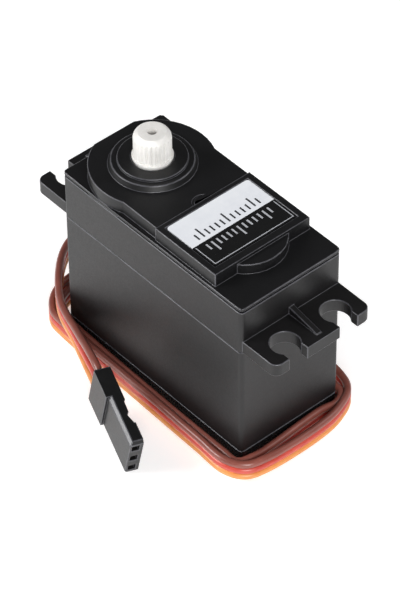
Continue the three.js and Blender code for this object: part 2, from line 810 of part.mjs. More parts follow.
function motorBrush(side) {
  const arm = (x0, x1) => [Math.min(side * x0, side * x1), Math.max(side * x0, side * x1)];
  const contact = box(...arm(commutatorRadius + 0.1, 3.2), -0.7, 0.7, motorBottom + 1.6, motorBottom + 3);
  const bridge = box(...arm(3.1, 5.2), -0.7, 0.7, motorBottom + 1.6, motorBottom + 2.1);
  const terminal = box(...arm(4.8, 5.2), -0.7, 0.7, boardTop + 0.05, motorBottom + 2.1);
  return joined(contact, bridge, terminal).translate([motorX, 0, 0]);
}

// ---------- potentiometer ----------

const potBottom = potTop - potHeight;
const potShaftTop = outputWheelTop + 1.2;
const trackTop = potBottom + potBaseThickness + 0.2;
const wiperZ = trackTop + 0.1;
const potTerminalX = outputX + 3.6;
const potTerminalPitch = 2.2;

function potHousing() {
  const cup = joined(
    cylinder(potRadius, potBottom + potBaseThickness + 0.05, potTop, 0, 0, 32),
    cylinder(potBushRadius, potTop - 0.1, earUnderside - fit, 0, 0, 24),
  );
  return without(
    cup,
    cylinder(potRadius - potWall, potBottom - 1, potTop - potWall, 0, 0, 32),
    cylinder(potShaftRadius + 0.15, potBottom, earUnderside + 1, 0, 0, 24),
  ).translate([outputX, 0, 0]);
}

function potBase() {
  const tails = [-1, 0, 1].map((row) => box(
    3.6 - 0.5, 3.6 + 0.5,
    row * potTerminalPitch - 0.5, row * potTerminalPitch + 0.5,
    potBottom - 1, potBottom + 0.7,
  ));
  return without(
    cylinder(potRadius, potBottom, potBottom + potBaseThickness, 0, 0, 32), ...tails,
  ).translate([outputX, 0, 0]);
}

function potTrack() {
  return ringSector(
    4.2, 2.6, 35, 325, potBottom + potBaseThickness + 0.05, trackTop, outputX, 24,
  );
}

function potShaft() {
  const foot = wiperZ + 0.45;
  const carrier = cylinder(3.9, foot, foot + 0.9, 0, 0, 24);
  const round = cylinder(potShaftRadius, foot, outputWheelZ - 0.5, 0, 0, 20);
  const tip = flattedBar(potShaftRadius, potShaftFlat, outputWheelZ - 0.6, potShaftTop);
  return joined(carrier, round, tip).translate([outputX, 0, 0]);
}

function potWiper() {
  return joined(
    ringSector(3.8, 2.9, 165, 195, wiperZ, wiperZ + 0.35, outputX, 4),
    box(outputX - 3.2, outputX + 1.0, -0.6, 0.6, wiperZ + 0.1, wiperZ + 0.35),
  );
}

function potWire(row) {
  const y = row * potTerminalPitch;
  return cylinder(0.35, boardTop + 0.05, potBottom + 0.6, potTerminalX, y, 8);
}

// ---------- circuit board ----------

const boardTop = boardBottom + boardThickness;

function circuitBoard() {
  return box(-boardHalfLength, boardHalfLength, -boardHalfWidth, boardHalfWidth, boardBottom, boardTop);
}

function chip(x, y, halfX, halfY, height) {
  return box(x - halfX, x + halfX, y - halfY, y + halfY, boardTop + 0.1, boardTop + 0.1 + height);
}

// ---------- lead ----------

function grommet() {
  const inner = -halfLength + caseWall;
  const alongX = (halfY, halfZ, radius, x0, x1) => {
    const options = { depth: x1 - x0, bevelEnabled: false, curveSegments: 3 };
    const geometry = new THREE.ExtrudeGeometry(roundedRectangle(halfY, halfZ, radius), options);
    geometry.rotateY(Math.PI / 2);
    geometry.rotateX(Math.PI / 2);
    geometry.translate(x0, 0, exitHeight);
    return toSolid(geometry);
  };
  const flangeX = inner + lipWall + fit + 0.15;
  return joined(
    alongX(grommetHalfWidth, grommetHalfHeight, 0.5, -halfLength - 0.5, flangeX + 0.1),
    alongX(grommetHalfWidth + 0.9, grommetHalfHeight + 0.4, 0.5, flangeX, flangeX + 0.9),
    alongX(grommetHalfWidth - 0.25, grommetHalfHeight - 0.25, 0.5,
      -halfLength - grommetReach, -halfLength),
  );
}

function leadRoot() {
  const start = -halfLength + caseWall + lipWall + 0.45 + 0.9 + fit;
  return box(
    start, start + 2.2, -leadWidth / 2, leadWidth / 2,
    exitHeight - leadThickness / 2, exitHeight + leadThickness / 2,
  );
}

// the plug's own axes: along its length, and up across its width
const plugForward = new THREE.Vector3(1, 0, 0)
  .applyAxisAngle(new THREE.Vector3(0, 1, 0), turn(plugPitch))
  .applyAxisAngle(new THREE.Vector3(0, 0, 1), turn(plugYaw));
const plugUp = new THREE.Vector3(0, 0, 1)
  .applyAxisAngle(new THREE.Vector3(1, 0, 0), turn(plugRoll))
  .applyAxisAngle(new THREE.Vector3(0, 1, 0), turn(plugPitch))
  .applyAxisAngle(new THREE.Vector3(0, 0, 1), turn(plugYaw));
const plugRear = plugNose.clone().addScaledVector(plugForward, -plugLength);

// route of the lead's centre line: out of the -X end, twice around the case, then over its own
// turns to the plug; on its edge on the floor except where it leaves and where it ends
const floorLine = leadWidth / 2 + 0.12;
const routeLength = 40.6; // the case that these points go round; they move out with its walls
const routeWidth = 19.8;
const route = [
  [-routeLength / 2 - grommetReach - fit, 0, exitHeight],
  [-23.2, 0, exitHeight],
  [-24.9, -0.75, 3.7],
  [-25.5, -2.9, 2.7],
  [-25.1, -5.8, floorLine],
  [-23.9, -8.4, floorLine],
  [-21.5, -10.2, floorLine],
  [-17.5, -10.65, floorLine],
  [17.4, -11.15, floorLine],
  [20.6, -10.95, floorLine],
  [21.5, -8.3, floorLine],
  [21.05, 5.5, floorLine],
  [21.4, 8.7, floorLine],
  [20.1, 10.7, floorLine],
  [17.0, 10.8, floorLine],
  [-17.5, 10.8, floorLine],
  [-22.3, 10.2, floorLine],
  [-25.8, 7.2, floorLine],
  [-26.9, 2.5, floorLine],
  [-27.1, -3.8, floorLine],
  [-26.0, -7.9, floorLine],
  [-23.0, -10.9, floorLine],
  [-18.6, -11.95, 2.6],
  [-4.0, -12.2, 2.6],
  [13.0, -12.5, 2.6],
  [19.6, -12.45, 2.5],
  [22.4, -10.8, 2.5],
  [23.4, -7.6, 2.5],
  [23.6, 3.6, 2.5],
  [22.7, 8.0, 2.4],
  [20.6, 11.7, 2.2],
  [16.6, 13.4, floorLine],
  [-17.0, 12.9, floorLine],
  [-25.2, 12.2, 2.6],
  [-29.9, 7.0, 4.0],
  [-30.8, 0.4, 5.5],
  [-28.6, -4.2, 5.8],
  [-21.2, -10.8, 5.9],
  [-13.0, -14.2, 6.5],
].map(([x, y, z]) => new THREE.Vector3(
  x + Math.sign(x) * (halfLength - routeLength / 2), y + Math.sign(y) * (halfWidth - routeWidth / 2), z,
));
const leadEnd = plugRear.clone().addScaledVector(plugForward, -fit);
route.push(leadEnd.clone().addScaledVector(plugForward, -1.6), leadEnd);

// a curve whose section keeps its width upright, lying flat only where it leaves the case;
// its steps follow the route's points, so that the bends get the short ones
class RibbonPath extends THREE.CatmullRomCurve3 {
  getSpacedPoints(steps) {
    return this.getPoints(steps);
  }

  computeFrenetFrames(steps) {
    const flatUntil = 0.08;
    const tangents = [];
    const normals = [];
    const binormals = [];
    for (let step = 0; step <= steps; step += 1) {
      const share = step / steps;
      const tangent = this.getTangent(share);
      const level = new THREE.Vector3(0, 0, 1).cross(tangent).normalize();
      const upright = new THREE.Vector3().crossVectors(tangent, level).normalize();
      const twist = (Math.PI / 2) * Math.max(0, 1 - share / flatUntil);
      const across = upright.multiplyScalar(Math.cos(twist)).addScaledVector(level, Math.sin(twist));
      tangents.push(tangent);
      normals.push(across);
      binormals.push(new THREE.Vector3().crossVectors(tangent, across).normalize());
    }
    return { tangents, normals, binormals };
  }
}

const leadPath = new RibbonPath(route, false, 'centripetal');

function lead() {
  const half = leadWidth / 2;
  const thin = leadThickness / 2;
  const corner = 0.35;
  const section = new THREE.Shape([
    [half, -thin + corner], [half, thin - corner], [half - corner, thin], [corner - half, thin],
    [-half, thin - corner], [-half, corner - thin], [corner - half, -thin], [half - corner, -thin],
  ].map(([x, y]) => new THREE.Vector2(x, y)));
  const steps = 2 * (route.length - 1);
  const options = { steps, extrudePath: leadPath, bevelEnabled: false };
  return toSolid(new THREE.ExtrudeGeometry(section, options));
}

// ---------- plug ----------

// a square bar on its edge, which takes an even bevel off a corner along the plug
function edgeCut(x, y, bevel, from, to) {
  const half = bevel / Math.SQRT2;
  return box(-half, half, -half, half, from, to).rotate([0, 0, 45]).translate([x, y, 0]);
}

// its outline is the view onto its narrow side: a step on the near face, and on the far one
// the hollow with the windows that its terminals latch in
function plugHousing() {
  const half = plugWidth / 2;
  const far = plugThickness / 2;
  const front = plugStep - far;
  const windowStart = 8.6;
  const windowEnd = 10.65;
  const outline = new THREE.Shape([
    [-far, 0], [far, 0], [far, 6.4], [far - 0.25, 6.6], [far - 0.3, windowStart],
    [far - plugWindow, windowStart + 0.5], [far - 0.2, windowEnd], [far, windowEnd + 0.05],
    [far, plugLength], [front, plugLength], [front, plugRearLength], [-far, plugRearLength],
  ].map(([x, along]) => new THREE.Vector2(x, along)));
  const noseHalf = plugNoseCut / Math.SQRT2;
  const noseCut = box(-3, 3, -noseHalf, noseHalf, -noseHalf, noseHalf).rotate([45, 0, 0]);
  const sockets = [-1, 0, 1].map((row) => box(
    socketX - socketSize / 2, socketX + socketSize / 2,
    row * socketPitch - socketDrop - socketSize / 2, row * socketPitch - socketDrop + socketSize / 2,
    plugLength - socketDepth, plugLength + 1,
  ));
  return without(
    prism(outline, -half, half).rotate([90, 0, 0]),
    edgeCut(front, half, plugBevel, plugRearLength, plugLength + 1),
    edgeCut(front, -half, 0.3, plugRearLength, plugLength + 1),
    noseCut.translate([0, half, plugLength]),
    ...sockets,
  );
}

function plugContact(row) {
  const outer = socketSize / 2 - slipFit;
  const start = plugLength - socketDepth + 0.15;
  const tube = without(
    box(-outer, outer, -outer, outer, start, start + socketDepth - 1.2),
    box(-outer + 0.2, outer - 0.2, -outer + 0.2, outer - 0.2, start + 1.5, start + socketDepth),
  );
  return tube.translate([socketX, row * socketPitch - socketDrop, 0]);
}

// ---------- assembly ----------

addPart('bottom_cover', bottomCover(), 'caseBlack');
addPart('middle_case', middleCase(), 'caseBlack');
addPart('gear_case', gearCase(), 'caseBlack');
addPart('top_cover', topCover(), 'coverBlack');
addPart('label', label(), 'label');
atCorners(screwX, screwY, (x, y) => [x, y]).forEach(([x, y], index) => {
  addPart(`case_screw_${index + 1}`, caseScrew(x, y), 'steel');
});

addPart('motor_pinion', motorPinion(), 'brass');
const firstPinionTop = secondWheelZ + wheelThickness + 0.2;
addPart('first_gear', compoundGear(
  centreX, firstModule, firstWheelTeeth, middleModule, firstWheelZ, firstPinionTop,
), 'whiteNylon');
const secondPinionTop = thirdWheelZ + wheelThickness + 0.2;
addPart('second_gear', compoundGear(
  upperX, middleModule, middleWheelTeeth, middleModule, secondWheelZ, secondPinionTop,
), 'whiteNylon');
addPart('third_gear', compoundGear(
  centreX, middleModule, middleWheelTeeth, lastModule, thirdWheelZ, outputWheelTop - 0.3,
), 'whiteNylon');
addPart('output_gear', outputGear(), 'whiteNylon');
addPart('centre_pin', cylinder(
  pinRadius, earUnderside + 0.1, platformHeight - 0.9, centreX, 0, 16,
), 'steel');
addPart('upper_pin', cylinder(
  pinRadius, secondWheelZ + 0.1, platformHeight - 0.9, upperX, 0, 16,
), 'steel');

addPart('bearing_outer_ring', bearingRing(bearingRadius, bearingRadius - bearingRingWall), 'steel');
const innerRingBore = journalRadius + slipFit;
addPart('bearing_inner_ring', bearingRing(innerRingBore + bearingRingWall, innerRingBore), 'steel');
addPart('bearing_cage', bearingCage(), 'brass');
for (let index = 0; index < ballCount; index += 1) {
  addPart(`bearing_ball_${index + 1}`, bearingBall(index), 'steel');
}

addPart('motor_can', motorCan(), 'canSteel');
addPart('motor_end_cap', motorEndCap(), 'caseBlack');
addPart('motor_magnet_1', motorMagnet(1), 'ferrite');
addPart('motor_magnet_2', motorMagnet(-1), 'ferrite');
addPart('motor_shaft', motorShaft(), 'steel');
addPart('armature_core', armatureCore(), 'canSteel');
for (let index = 0; index < 3; index += 1) {
  addPart(`armature_coil_${index + 1}`, armatureCoil(index), 'copper');
}
addPart('commutator', commutator(), 'copper');
addPart('motor_brush_1', motorBrush(1), 'brass');
addPart('motor_brush_2', motorBrush(-1), 'brass');

addPart('pot_housing', potHousing(), 'canSteel');
addPart('pot_base', potBase(), 'phenolic');
addPart('pot_track', potTrack(), 'ferrite');
addPart('pot_shaft', potShaft(), 'whiteNylon');
addPart('pot_wiper', potWiper(), 'brass');
[-1, 0, 1].forEach((row, index) => {
  addPart(`pot_wire_${index + 1}`, potWire(row), 'copper');
});

addPart('circuit_board', circuitBoard(), 'board');
addPart('control_chip', chip(outputX - 1.1, 0, 2.0, 4.6, 1.5), 'chip');
addPart('driver_chip', chip(outputX + 5.8, -5.4, 2.0, 2.2, 1.5), 'chip');
const capacitor = cylinder(2.0, boardTop + 0.1, boardTop + 6.5, outputX + 4.7, 5.2, 16);
addPart('smoothing_capacitor', capacitor, 'steel');

addPart('lead_grommet', grommet(), 'rubber');
addPart('lead_root', leadRoot(), 'lead');
addPart('lead', lead(), 'lead');

const plug = new THREE.Group();
plug.position.copy(plugRear);
plug.quaternion.setFromRotationMatrix(new THREE.Matrix4().makeBasis(
  new THREE.Vector3().crossVectors(plugUp, plugForward), plugUp, plugForward,
));
servo.add(plug);
addPart('plug_housing', plugHousing(), 'plug', plug);
[-1, 0, 1].forEach((row, index) => {
  addPart(`plug_contact_${index + 1}`, plugContact(row), 'brass', plug);
});

export default servo;
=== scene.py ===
# Servo motor: surfaces, edges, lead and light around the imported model. Metres, +Z up.
import bpy
import bmesh
import math
from mathutils import Matrix, Vector


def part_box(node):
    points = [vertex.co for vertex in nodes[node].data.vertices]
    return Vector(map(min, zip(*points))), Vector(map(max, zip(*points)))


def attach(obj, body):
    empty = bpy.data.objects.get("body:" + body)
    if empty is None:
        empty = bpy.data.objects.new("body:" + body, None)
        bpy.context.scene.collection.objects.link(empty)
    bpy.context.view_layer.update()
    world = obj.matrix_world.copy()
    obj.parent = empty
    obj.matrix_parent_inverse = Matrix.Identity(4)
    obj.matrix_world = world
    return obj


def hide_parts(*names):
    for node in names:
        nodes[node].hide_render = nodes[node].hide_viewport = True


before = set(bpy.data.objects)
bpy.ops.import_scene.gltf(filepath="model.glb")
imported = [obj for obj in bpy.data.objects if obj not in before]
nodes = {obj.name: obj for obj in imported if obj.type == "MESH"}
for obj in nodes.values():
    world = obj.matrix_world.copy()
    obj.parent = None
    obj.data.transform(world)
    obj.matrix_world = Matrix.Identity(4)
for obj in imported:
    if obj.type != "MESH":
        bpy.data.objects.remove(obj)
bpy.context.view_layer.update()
mm = 0.001

camera = {
    "azimuth": 49.14,
    "elevation": 44.11,
    "distance": 0.54083,
    "target": (0.001482, -0.001508, 0.017013),
    "roll": -0.01,
    "lens": 320.2,
}


def makeCamera(spec):
    azimuth, elevation = math.radians(spec["azimuth"]), math.radians(spec["elevation"])
    back = Vector((
        math.sin(azimuth) * math.cos(elevation),
        -math.cos(azimuth) * math.cos(elevation),
        math.sin(elevation),
    ))
    right = Vector((0, 0, 1)).cross(back).normalized()
    up = back.cross(right)
    c, s = math.cos(spec["roll"]), math.sin(spec["roll"])
    across, over = c * right + s * up, -s * right + c * up
    data = bpy.data.cameras.new("camera")
    data.lens = spec["lens"]
    data.sensor_width = 36
    data.sensor_fit = "HORIZONTAL"
    data.clip_start, data.clip_end = 0.01, 20
    seen = bpy.data.objects.new("camera", data)
    turned = Matrix((across, over, back)).transposed().to_4x4()
    seen.matrix_world = Matrix.Translation(Vector(spec["target"]) + back * spec["distance"]) @ turned
    bpy.context.scene.collection.objects.link(seen)
    bpy.context.scene.camera = seen


makeCamera(camera)
print("camera in place")


def newObject(name, bm, sharp=35):
    mesh = bpy.data.meshes.new(name)
    bmesh.ops.recalc_face_normals(bm, faces=bm.faces)
    for edge in bm.edges:
        edge.smooth = len(edge.link_faces) == 2 and edge.calc_face_angle(0) < math.radians(sharp)
    for face in bm.faces:
        face.smooth = True
    bm.to_mesh(mesh)
    bm.free()
    made = bpy.data.objects.new(name, mesh)
    bpy.context.scene.collection.objects.link(made)
    return made


mould = {
    "weld": 0.004,  # mm, corners closer than this become one
    "sliver": 0.003,
    "flat": 1.5,  # degrees between faces that count as one face
    "sharp": 32,  # degrees at an edge that gets rounded
    "inner": 0.45,  # rounding of an inside corner beside an outside one
    "segments": 2,
}


# a moulded piece: the imported shape with the edges rounded as its mould leaves them,
# the rounded strips in the second material slot, which on the case shells carries a painted edge highlight
def softened(cadName, name, spec):
    bm = bmesh.new()
    bm.from_mesh(nodes[cadName].data)
    bmesh.ops.remove_doubles(bm, verts=bm.verts, dist=mould["weld"] * mm)
    bmesh.ops.dissolve_degenerate(bm, edges=bm.edges, dist=mould["sliver"] * mm)
    bmesh.ops.dissolve_limit(
        bm, angle_limit=math.radians(mould["flat"]), verts=bm.verts, edges=bm.edges,
        use_dissolve_boundaries=False,
    )
    bmesh.ops.triangulate(bm, faces=[f for f in bm.faces if len(f.verts) > 4])
    bmesh.ops.recalc_face_normals(bm, faces=bm.faces)
    weight = bm.edges.layers.float.new("bevel_weight_edge")
    lowest, highest = spec.get("between", (-math.inf, math.inf))
    for edge in bm.edges:
        heights = [v.co.z / mm for v in edge.verts]
        middle = (edge.verts[0].co + edge.verts[1].co) / 2 / mm
        if len(edge.link_faces) != 2 or min(heights) < lowest or max(heights) > highest:
            continue
        if edge.calc_face_angle(0) > math.radians(mould["sharp"]):
            edge[weight] = 1 if edge.is_convex else mould["inner"]
        for x0, x1, y0, y1, share in spec.get("faint", []):
            if x0 < middle.x < x1 and y0 < middle.y < y1:
                edge[weight] *= share
    made = newObject(name, bm, mould["sharp"])
    rounding = made.modifiers.new("edges", "BEVEL")
    rounding.width = spec["edge"] * mm
    rounding.segments = mould["segments"]
    rounding.limit_method = "WEIGHT"
    rounding.use_clamp_overlap = False
    rounding.harden_normals = True
    # the rounded strips take the second slot: the painted edge highlight on the case shells and the plug
    rounding.material = 1
    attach(made, spec["body"])
    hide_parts(cadName)
    return made


lead = {
    "wire": 1.2,  # mm over the insulation
    "fused": 0.015,  # more radius, so that neighbouring wires run into each other
    "wiresAtPlug": 2.54,  # spacing where they enter the plug
    "fan": 15,  # length over which they part
    "turnShare": 0.08,  # of the route's points, over which the ribbon turns from flat to on edge
    "intoCase": 0.8,  # how far the ends run on, into the case and into the plug
    "intoPlug": 0.7,
    "straight": 1.6,  # last stretch, in line with the plug
    "sides": 14,
    "perPoint": 12,
    "route": [
        (-22.2, 0, 3.9), (-23.2, 0, 3.9), (-24.9, -0.75, 3.7), (-25.5, -2.9, 2.7), (-25.1, -5.8, 1.92),
        (-23.9, -8.4, 1.92), (-21.5, -10.2, 1.92), (-17.5, -10.65, 1.92), (17.4, -11.15, 1.92),
        (20.6, -10.95, 1.92), (21.5, -8.3, 1.92), (21.05, 5.5, 1.92), (21.4, 8.7, 1.92),
        (20.1, 10.7, 1.92), (17.0, 10.8, 1.92), (-17.5, 10.8, 1.92), (-22.3, 10.2, 1.92),
        (-25.8, 7.2, 1.92), (-26.9, 2.5, 1.92), (-27.1, -3.8, 1.92), (-26.0, -7.9, 1.92),
        (-23.0, -10.9, 1.92), (-18.6, -11.95, 2.6), (-4.0, -12.2, 2.6), (13.0, -12.5, 2.6),
        (19.6, -12.45, 2.5), (22.4, -10.8, 2.5), (23.4, -7.6, 2.5), (23.6, 3.6, 2.5), (22.7, 8.0, 2.4),
        (20.6, 11.7, 2.2), (16.6, 13.4, 1.92), (-17.0, 12.9, 1.92), (-25.2, 12.2, 2.6),
        (-29.9, 7.0, 4.0), (-30.8, 0.4, 5.5), (-28.6, -4.2, 5.8), (-21.2, -10.8, 5.9), (-13.0, -14.2, 6.5),
    ],
    "plugNose": (10.15, -22.6, 3.85),
    "plugYaw": -19,
    "plugPitch": 12,
    "plugRoll": -4,
    "plugLength": 14.4,
    "gap": 0.3,  # from the path's end to the plug's rear
}


# the ways the plug points and stands
def plugAxes(spec):
    turned = Matrix.Identity(3)
    for angle, axis in (("plugYaw", "Z"), ("plugPitch", "Y"), ("plugRoll", "X")):
        turned = turned @ Matrix.Rotation(math.radians(spec[angle]), 3, axis)
    return turned @ Vector((1, 0, 0)), turned @ Vector((0, 0, 1))


# a curve through the points: its place, its direction and the share of the points passed, at each step
def smoothCurve(points, perPoint):
    last = len(points) - 1
    line = []
    for i in range(last):
        b, c = points[i], points[i + 1]
        a = points[i - 1] if i else 2 * b - c
        d = points[i + 2] if i + 2 <= last else 2 * c - b
        spans = [(q - p).length ** 0.5 for p, q in ((a, b), (b, c), (c, d))]
        start = ((b - a) / spans[0] - (c - a) / (spans[0] + spans[1]) + (c - b) / spans[1]) * spans[1]
        end = ((c - b) / spans[1] - (d - b) / (spans[1] + spans[2]) + (d - c) / spans[2]) * spans[1]
        for step in range(perPoint + (i == last - 1)):
            t = step / perPoint
            cube = 2 * b - 2 * c + start + end
            square = 3 * c - 3 * b - 2 * start - end
            place = b + start * t + square * t * t + cube * t ** 3
            way = start + 2 * square * t + 3 * cube * t * t
            line.append((place, way.normalized(), (i + t) / last))
    return line


def makeLead(spec):
    forward = plugAxes(spec)[0]
    rear = Vector(spec["plugNose"]) - forward * spec["plugLength"]
    end = rear - forward * spec["gap"]
    points = [Vector(p) for p in spec["route"]] + [end - forward * spec["straight"], end]
    line = smoothCurve(points, spec["perPoint"])
    lengths = [0]
    for (p, _, _), (q, _, _) in zip(line, line[1:]):
        lengths.append(lengths[-1] + (q - p).length)
    total = lengths[-1]
    bm = bmesh.new()
    radius = spec["wire"] / 2 + spec["fused"]
    for row in (1, 0, -1):
        rings = []
        for (place, way, share), run in zip(line, lengths):
            level = Vector((0, 0, 1)).cross(way).normalized()
            upright = way.cross(level).normalized()
            twist = math.pi / 2 * max(0, 1 - share / spec["turnShare"])
            across = upright * math.cos(twist) + level * math.sin(twist)
            side = way.cross(across)
            part = max(0, 1 - (total - run) / spec["fan"])
            part = part * part * (3 - 2 * part)
            spacing = spec["wire"] + (spec["wiresAtPlug"] - spec["wire"]) * part
            centre = place + across * (row * spacing)
            if run == 0:
                centre = centre - way * spec["intoCase"]
            if run == total:
                centre = centre + way * spec["intoPlug"]
            ring = []
            for k in range(spec["sides"]):
                angle = 2 * math.pi * k / spec["sides"]
                ring.append(bm.verts.new((centre + radius * (
                    across * math.cos(angle) + side * math.sin(angle))) * mm))
            rings.append(ring)
        for near, far in zip(rings, rings[1:]):
            for k in range(spec["sides"]):
                face = bm.faces.new((near[k], near[k - 1], far[k - 1], far[k]))
                face.material_index = 1 - row
        for ring in (rings[0], rings[-1]):
            bm.faces.new(ring).material_index = 1 - row
    made = newObject("ribbonLead", bm, 60)
    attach(made, "case")
    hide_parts("lead")
    path = [tuple(p * mm) for p, _, _ in line]
    return made, path, total * mm


leadPiece, leadPath, leadLength = makeLead(lead)

plug = {
    "name": "plugHousing",
    "body": "case",
    "edge": 0.13,
    "highlightFacing": 0.97,  # how squarely a face must look up and out to count as the bevel face painted with the highlight
}
plugPiece = softened("plug_housing", plug["name"], plug)
plugForward, plugUp = plugAxes(lead)
bevelWay = (plugUp - plugUp.cross(plugForward)).normalized()
# the bevel face that looks up and out gets the painted highlight material
for face in plugPiece.data.polygons:
    if face.normal.dot(bevelWay) > plug["highlightFacing"]:
        face.material_index = 1
print("lead laid, %.1f mm" % (leadLength * 1000))

gateMark = (-1.4, 0.55, -2.4, 1.6, 0.4)  # from and to along X and along Y, and the share of rounding
shells = {
    "bottom_cover": {"name": "bottomCover", "body": "case", "edge": 0.1},
    "middle_case": {"name": "middleCase", "body": "case", "edge": 0.12},
    "gear_case": {"name": "gearCase", "body": "case", "edge": 0.14},
    "top_cover": {"name": "topCover", "body": "case", "edge": 0.14, "faint": [gateMark]},
    "lead_grommet": {"name": "grommet", "body": "case", "edge": 0.15},
    # only the collar's edges: the teeth above are too fine to round
    "output_gear": {"name": "outputGear", "body": "output", "edge": 0.06, "between": (37.3, 38.3)},
}
shellPieces = {cad: softened(cad, spec["name"], spec) for cad, spec in shells.items()}
print("shells rounded")

label = {
    "silverShare": 0.54,  # of the length, from the horn end
    "corner": 0.5,
    "border": 0.14,  # printed line inside the edge
    "borderInset": 0.3,
    "ink": 0.012,  # how far the print stands above the film
    "inkRoot": 0.02,  # how far it reaches down into it
    "tick": 0.3,
    "tickPitch": 1.0,
    "tickLong": 2.2,
    "tickShort": 1.3,
    "longEvery": 5,
    "tickGap": 0.7,  # from the middle line to the ticks
    "scaleMargin": 1.6,  # kept bare beyond the scale's two ends
    "cornerSteps": 6,
}


# one flat plate, its corners rounded at the ends asked for
def addPlate(bm, x0, x1, y0, y1, z0, z1, radius, index, roundEnds=(True, True)):
    outline = []
    first, second = roundEnds
    corners = ((x0, y0, 180, first), (x1, y0, 270, second), (x1, y1, 0, second), (x0, y1, 90, first))
    turn = 90 / label["cornerSteps"]
    for x, y, start, soft in corners:
        if not soft or radius == 0:
            outline.append((x, y))
            continue
        cx = x + (radius if x == x0 else -radius)
        cy = y + (radius if y == y0 else -radius)
        for k in range(label["cornerSteps"] + 1):
            angle = math.radians(start + turn * k)
            outline.append((cx + radius * math.cos(angle), cy + radius * math.sin(angle)))
    low = [bm.verts.new((x * mm, y * mm, z0 * mm)) for x, y in outline]
    high = [bm.verts.new((x * mm, y * mm, z1 * mm)) for x, y in outline]
    bm.faces.new(high).material_index = index
    bm.faces.new(low[::-1]).material_index = index
    for k in range(len(outline)):
        bm.faces.new((low[k - 1], low[k], high[k], high[k - 1])).material_index = index


def makeLabel(spec):
    low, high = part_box("label")
    x0, y0, z0 = (v / mm for v in low)
    x1, y1, z1 = (v / mm for v in high)
    split = x0 + (x1 - x0) * spec["silverShare"]
    bm = bmesh.new()
    addPlate(bm, x0, split, y0, y1, z0, z1, spec["corner"], 0, (True, False))
    addPlate(bm, split, x1, y0, y1, z0, z1, spec["corner"], 1, (False, True))
    ink, top = z1 - spec["inkRoot"], z1 + spec["ink"]
    inset, line = spec["borderInset"], spec["border"]
    addPlate(bm, x1 - inset - line, x1 - inset, y0 + inset, y1 - inset, ink, top, 0, 2)
    for side in (y0 + inset, y1 - inset - line):
        addPlate(bm, split + inset, x1 - inset - line, side, side + line, ink, top, 0, 2)
    # a plain travel scale: short ticks each millimetre, long ones each five
    half = int((y1 - y0) / 2 - spec["scaleMargin"])
    for k in range(-half, half + 1):
        reach = spec["tickLong"] if k % spec["longEvery"] == 0 else spec["tickShort"]
        y = k * spec["tickPitch"]
        sides = (y - spec["tick"] / 2, y + spec["tick"] / 2)
        dark, pale = split - spec["tickGap"], split + spec["tickGap"]
        addPlate(bm, dark - reach, dark, *sides, ink, top, 0, 3)
        addPlate(bm, pale, pale + reach, *sides, ink, top, 0, 2)
    made = newObject("printedLabel", bm)
    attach(made, "case")
    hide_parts("label")
    return made


labelPiece = makeLabel(label)
print("label made")


def linear(colour):
    values = [int(colour[k:k + 2], 16) / 255 for k in (1, 3, 5)]
    return [v / 12.92 if v <= 0.04045 else ((v + 0.055) / 1.055) ** 2.4 for v in values] + [1]


def perMm(size):
    return 1 / (size * mm)


def addNode(tree, kind, settings=None, links=None):
    made = tree.nodes.new(kind)
    for key, value in (settings or {}).items():
        if key in made.inputs:
            made.inputs[key].default_value = value
        else:
            setattr(made, key, value)
    for key, source in (links or {}).items():
        tree.links.new(source, made.inputs[key])
    return made


def newPaint(name, settings):
    paint = bpy.data.materials.new(name)
    paint.use_nodes = True
    for key, value in settings.items():
        paint.node_tree.nodes["Principled BSDF"].inputs[key].default_value = value
    return paint


pattern = {
    "mottle": {"Detail": 5, "Roughness": 0.6},
    "grain": {"Detail": 3, "Roughness": 0.55},
    "layers": {"Distortion": 0.6, "Detail": 1},
    "wave": 0.3142,  # scale at which the bands of a wave are one unit apart
    "grainRange": (0.25, 0.75),  # what the grain's noise reaches
    "depth": 0.02,  # mm of relief
}


# colour mottling, roughness variation and a fine surface relief over one base finish
def newMaterial(name, look):
    material = newPaint(name, look["shader"])
    tree = material.node_tree
    shader = tree.nodes["Principled BSDF"]
    place = addNode(tree, "ShaderNodeTexCoord").outputs["Object"]
    if "stretch" in look:
        place = addNode(tree, "ShaderNodeMapping", {"Scale": look["stretch"]}, {"Vector": place}).outputs[0]
    blotch, grain = (
        addNode(tree, "ShaderNodeTexNoise", {"Scale": perMm(look[kind]), **pattern[kind]}, {
            "Vector": place}).outputs["Fac"]
        for kind in ("mottle", "grain"))
    height = grain
    if "layers" in look:
        stripes = addNode(tree, "ShaderNodeTexWave", {
            "wave_type": "BANDS", "bands_direction": look.get("across", "Z"),
            "Scale": perMm(look["layers"]) * pattern["wave"], **pattern["layers"],
        }, {"Vector": place}).outputs["Fac"]
        height = addNode(tree, "ShaderNodeMath", {"operation": "ADD"}, {0: stripes, 1: grain}).outputs[0]
        blotch = addNode(
            tree, "ShaderNodeMath", {"operation": "MULTIPLY"}, {0: stripes, 1: blotch}).outputs[0]
    tones = addNode(tree, "ShaderNodeValToRGB", {}, {"Fac": blotch})
    span = look.get("span", (0.3, 0.7))
    for stop, at, colour in zip(tones.color_ramp.elements, span, (look["dark"], look["light"])):
        stop.position = at
        stop.color = linear(colour)
    low, high = pattern["grainRange"]
    smooth, rough = look["roughness"]
    gloss = addNode(tree, "ShaderNodeMapRange", {
        "From Min": low, "From Max": high, "To Min": smooth, "To Max": rough}, {"Value": grain})
    relief = addNode(tree, "ShaderNodeBump", {
        "Strength": look["relief"], "Distance": look.get("depth", pattern["depth"]) * mm}, {"Height": height})
    tree.links.new(tones.outputs["Color"], shader.inputs["Base Color"])
    tree.links.new(gloss.outputs["Result"], shader.inputs["Roughness"])
    tree.links.new(relief.outputs["Normal"], shader.inputs["Normal"])
    return material


def finish(pieces, materials):
    for piece in pieces:
        while len(piece.data.materials) > len(materials):
            piece.data.materials.pop()
        for k, material in enumerate(materials):
            if k < len(piece.data.materials):
                piece.data.materials[k] = material
            else:
                piece.data.materials.append(material)


